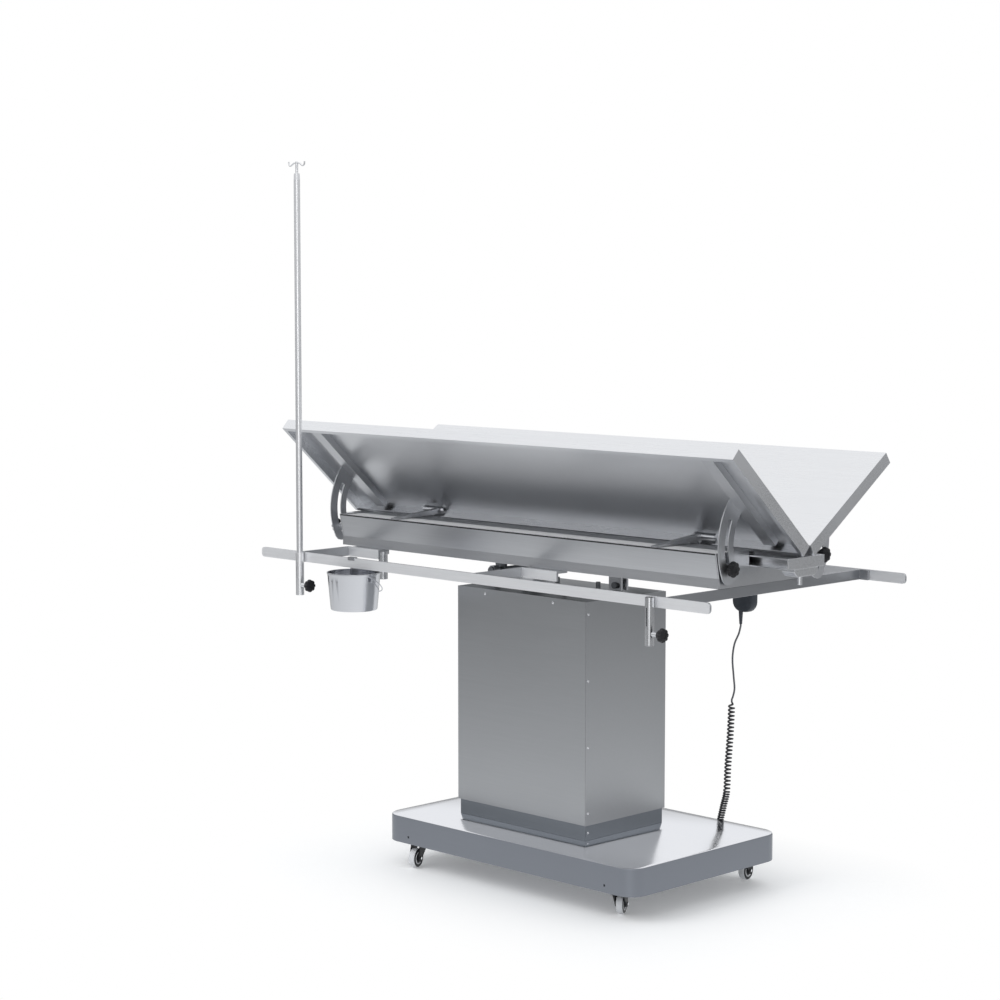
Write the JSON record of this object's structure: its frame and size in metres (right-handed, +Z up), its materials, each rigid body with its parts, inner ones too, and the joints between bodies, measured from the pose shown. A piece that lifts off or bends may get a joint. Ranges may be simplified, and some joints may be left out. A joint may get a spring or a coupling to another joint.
{
  "type": "veterinary surgery table",
  "caption": "Veterinary surgery table: two hinged steel wings set in a V over a tilting frame with side rails, on a lifting column and a wheeled base, with drip pole, pail and pendant.",
  "frame": {"origin": "centre of the table's outer box, on the floor under the castors", "axes": "+X along the table towards the end without the drip pole, +Z up, -Y towards the side with the drip pole and the pail"},
  "size_m": [1.5076, 0.776, 1.7523],
  "materials": {
    "brushed_steel": "satin brushed",
    "bright_steel": "bright polished",
    "dark_steel": "dull",
    "black_plastic": "satin",
    "grey_rubber": "matte",
    "cord_black": "satin"
  },
  "bodies": {
    "base": {"base_cover": "brushed_steel", "base_frame": "dark_steel", "plinth": "dark_steel", "lift_post": "dark_steel", "cord_gland": "black_plastic", "cord_curl": "cord_black"},
    "lift": {"shroud_wrap": "brushed_steel", "shroud_end": "brushed_steel", "column_top": "dark_steel", "tilt_stand": "brushed_steel"},
    "tilt_ram": {"tilt_ram": "dark_steel"},
    "table_top": {"tilt_yoke": "dark_steel", "tilt_clevis": "brushed_steel", "chassis_trough": "brushed_steel", "chassis_end_left": "brushed_steel", "chassis_end_right": "brushed_steel", "deck_front": "brushed_steel", "deck_rear": "brushed_steel", "centre_beam": "bright_steel", "drain_spout": "bright_steel", "beam_block": "brushed_steel", "hinge_stand_left": "brushed_steel", "hinge_stand_right": "brushed_steel", "rail_front": "brushed_steel", "rail_rear": "brushed_steel", "rail_crossbar": "brushed_steel", "socket_pole": "brushed_steel", "socket_spare": "brushed_steel"},
    "wing_front": {"wing_front": "bright_steel", "rib_front_left": "brushed_steel", "rib_front_right": "brushed_steel"},
    "wing_rear": {"wing_rear": "bright_steel", "rib_rear_left": "brushed_steel", "rib_rear_right": "brushed_steel"},
    "pole_tube": {"pole_tube": "bright_steel"},
    "pole_stem": {"pole_stem": "bright_steel"},
    "pail": {"pail": "bright_steel"},
    "pail_bail": {"pail_bail": "bright_steel"},
    "pendant": {"pendant": "black_plastic", "cord_lead": "cord_black"},
    "button_up": {"button_up": "grey_rubber"},
    "button_down": {"button_down": "grey_rubber"},
    "castor_fork_front_left": {"castor_fork_front_left": "black_plastic"},
    "castor_wheel_front_left": {"castor_wheel_front_left": "grey_rubber"},
    "castor_fork_front_right": {"castor_fork_front_right": "black_plastic"},
    "castor_wheel_front_right": {"castor_wheel_front_right": "grey_rubber"},
    "castor_pedal_front_right": {"castor_pedal_front_right": "black_plastic"},
    "castor_fork_rear_left": {"castor_fork_rear_left": "black_plastic"},
    "castor_wheel_rear_left": {"castor_wheel_rear_left": "grey_rubber"},
    "castor_fork_rear_right": {"castor_fork_rear_right": "black_plastic"},
    "castor_wheel_rear_right": {"castor_wheel_rear_right": "grey_rubber"},
    "castor_pedal_rear_right": {"castor_pedal_rear_right": "black_plastic"},
    "clamp_knob_front_left": {"clamp_knob_front_left": "black_plastic"},
    "clamp_knob_rear_left": {"clamp_knob_rear_left": "black_plastic"},
    "clamp_knob_front_right": {"clamp_knob_front_right": "black_plastic"},
    "clamp_knob_rear_right": {"clamp_knob_rear_right": "black_plastic"},
    "socket_knob_pole": {"socket_knob_pole": "black_plastic"},
    "socket_knob_spare": {"socket_knob_spare": "black_plastic"}
  },
  "joints": [
    {"name": "swivel_front_left", "type": "hinge", "parent": "base", "child": "castor_fork_front_left", "pos_m": [-0.2902, -0.1959, 0.0655], "axis": [0, 0, 1], "continuous": true},
    {"name": "wheel_front_left", "type": "hinge", "parent": "castor_fork_front_left", "child": "castor_wheel_front_left", "pos_m": [-0.28377, -0.21694, 0.024], "axis": [0.9563, 0.2924, 0], "continuous": true},
    {"name": "swivel_front_right", "type": "hinge", "parent": "base", "child": "castor_fork_front_right", "pos_m": [0.3798, -0.1959, 0.0655], "axis": [0, 0, 1], "continuous": true},
    {"name": "wheel_front_right", "type": "hinge", "parent": "castor_fork_front_right", "child": "castor_wheel_front_right", "pos_m": [0.36947, -0.17647, 0.024], "axis": [-0.8829, -0.4695, 0], "continuous": true},
    {"name": "pedal_front_right", "type": "hinge", "parent": "castor_fork_front_right", "child": "castor_pedal_front_right", "pos_m": [0.36712, -0.17206, 0.05575], "axis": [-0.8829, -0.4695, 0], "range_deg": [0, 12]},
    {"name": "swivel_rear_left", "type": "hinge", "parent": "base", "child": "castor_fork_rear_left", "pos_m": [-0.2902, 0.2481, 0.0655], "axis": [0, 0, 1], "continuous": true},
    {"name": "wheel_rear_left", "type": "hinge", "parent": "castor_fork_rear_left", "child": "castor_wheel_rear_left", "pos_m": [-0.2792, 0.26715, 0.024], "axis": [-0.866, 0.5, 0], "continuous": true},
    {"name": "swivel_rear_right", "type": "hinge", "parent": "base", "child": "castor_fork_rear_right", "pos_m": [0.3798, 0.2481, 0.0655], "axis": [0, 0, 1], "continuous": true},
    {"name": "wheel_rear_right", "type": "hinge", "parent": "castor_fork_rear_right", "child": "castor_wheel_rear_right", "pos_m": [0.37598, 0.26977, 0.024], "axis": [-0.9848, -0.1736, 0], "continuous": true},
    {"name": "pedal_rear_right", "type": "hinge", "parent": "castor_fork_rear_right", "child": "castor_pedal_rear_right", "pos_m": [0.37511, 0.27469, 0.05575], "axis": [-0.9848, -0.1736, 0], "range_deg": [0, 12]},
    {"name": "lift", "type": "slide", "parent": "base", "child": "lift", "axis": [0, 0, 1], "range_m": [0, 0.3], "deforming": ["cord_curl"]},
    {"name": "tilt", "type": "hinge", "parent": "lift", "child": "table_top", "pos_m": [-0.1702, 0.0261, 0.742], "axis": [0, -1, 0], "range_deg": [0, 15]},
    {"name": "tilt_ram", "type": "slide", "parent": "lift", "child": "tilt_ram", "axis": [0, 0, 1], "range_m": [0, 0.095]},
    {"name": "wing_front", "type": "hinge", "parent": "table_top", "child": "wing_front", "pos_m": [-0.0038, 0.0131, 0.8696], "axis": [-1, 0, 0], "range_deg": [-42.4, 2.6]},
    {"name": "wing_rear", "type": "hinge", "parent": "table_top", "child": "wing_rear", "pos_m": [-0.0038, 0.0391, 0.8696], "axis": [1, 0, 0], "range_deg": [-34.4, 10.6]},
    {"name": "clamp_knob_front_left", "type": "hinge", "parent": "table_top", "child": "clamp_knob_front_left", "pos_m": [-0.6691, -0.12153, 0.82139], "axis": [-1, 0, 0], "range_deg": [0, 360]},
    {"name": "clamp_knob_rear_left", "type": "hinge", "parent": "table_top", "child": "clamp_knob_rear_left", "pos_m": [-0.6433, 0.17703, 0.83187], "axis": [-1, 0, 0], "range_deg": [0, 360]},
    {"name": "clamp_knob_front_right", "type": "hinge", "parent": "table_top", "child": "clamp_knob_front_right", "pos_m": [0.6357, -0.12153, 0.82139], "axis": [1, 0, 0], "range_deg": [0, 360]},
    {"name": "clamp_knob_rear_right", "type": "hinge", "parent": "table_top", "child": "clamp_knob_rear_right", "pos_m": [0.6615, 0.17703, 0.83187], "axis": [1, 0, 0], "range_deg": [0, 360]},
    {"name": "socket_knob_pole", "type": "hinge", "parent": "table_top", "child": "socket_knob_pole", "pos_m": [-0.5529, -0.339, 0.695], "axis": [1, 0, 0], "range_deg": [0, 360]},
    {"name": "socket_knob_spare", "type": "hinge", "parent": "table_top", "child": "socket_knob_spare", "pos_m": [0.6186, -0.339, 0.695], "axis": [1, 0, 0], "range_deg": [0, 360]},
    {"name": "pole_height", "type": "slide", "parent": "table_top", "child": "pole_tube", "axis": [0, 0, 1], "range_m": [0, 0.08]},
    {"name": "stem_height", "type": "slide", "parent": "pole_tube", "child": "pole_stem", "axis": [0, 0, 1], "range_m": [0, 0.3]},
    {"name": "pail_lift_off", "type": "slide", "parent": "table_top", "child": "pail", "axis": [0, 0, 1], "range_m": [0, 0.009]},
    {"name": "pail_bail", "type": "hinge", "parent": "pail", "child": "pail_bail", "pos_m": [-0.3937, -0.321, 0.728], "axis": [1, 0, 0], "range_deg": [0, 105]},
    {"name": "pendant_lift_off", "type": "slide", "parent": "table_top", "child": "pendant", "axis": [0, 0, 1], "range_m": [0, 0.04]},
    {"name": "button_up", "type": "slide", "parent": "pendant", "child": "button_up", "axis": [0, 1, 0], "range_m": [0, 0.0012], "stiffness_N_per_m": 600},
    {"name": "button_down", "type": "slide", "parent": "pendant", "child": "button_down", "axis": [0, 1, 0], "range_m": [0, 0.0012], "stiffness_N_per_m": 600}
  ],
  "couplings": [
    {"joint": "tilt_ram", "follows": "tilt", "m_per_rad": 0.347}
  ]
}
